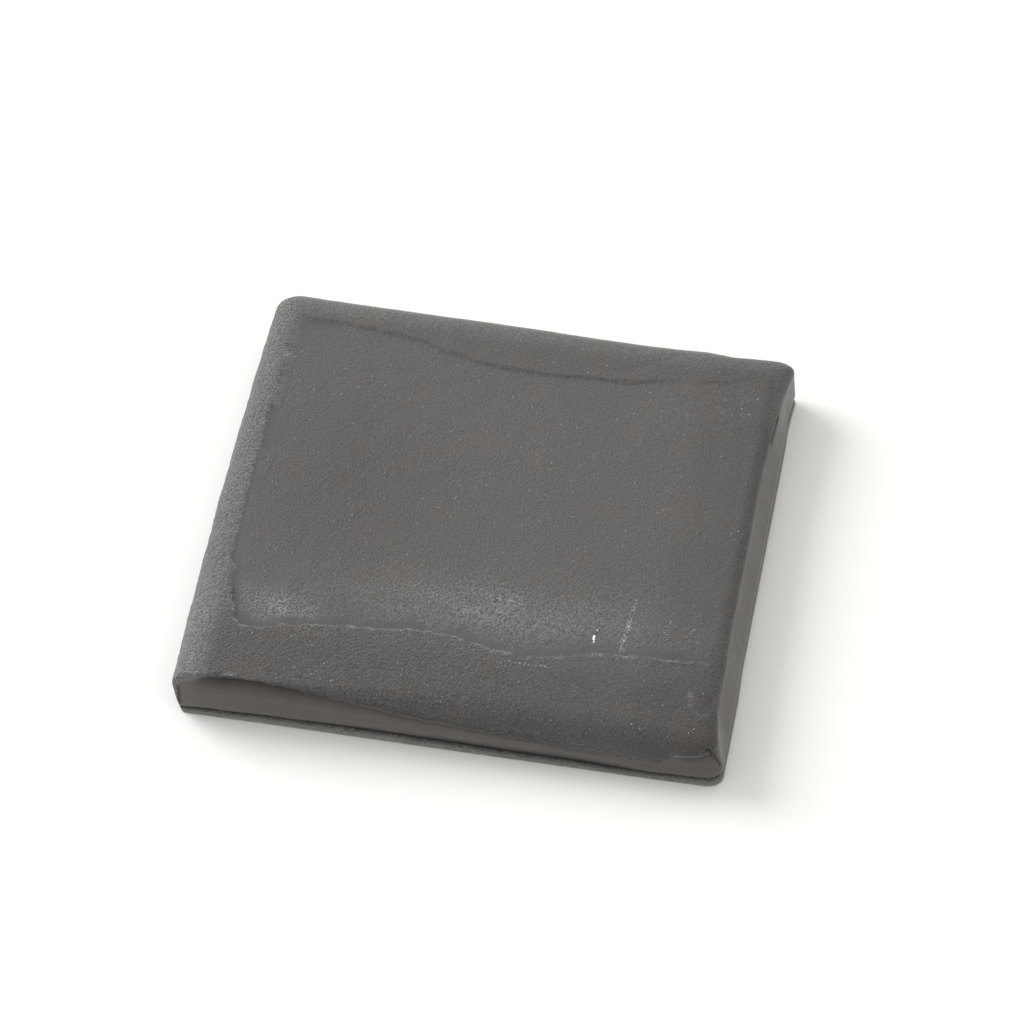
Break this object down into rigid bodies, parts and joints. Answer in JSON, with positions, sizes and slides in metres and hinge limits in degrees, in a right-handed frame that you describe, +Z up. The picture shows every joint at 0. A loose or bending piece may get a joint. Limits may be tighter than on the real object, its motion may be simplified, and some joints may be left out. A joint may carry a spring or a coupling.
{
  "type": "kneadable eraser slab",
  "caption": "Thin, nearly square slab of charcoal grey kneadable putty eraser, with one rolled side, cut sides and a shallow panel pressed into its top.",
  "frame": {"origin": "middle of the flat underside, where the slab rests", "axes": "+X along the width, from the rolled side to the cut side opposite; +Y across the depth, towards the back; +Z up through the thickness"},
  "size_m": [0.04, 0.038, 0.0048],
  "materials": {
    "putty": "matte, finely grained putty, smoother and satin where wrapping film pressed on it"
  },
  "bodies": {
    "root": {"putty_slab": "putty"}
  },
  "joints": []
}
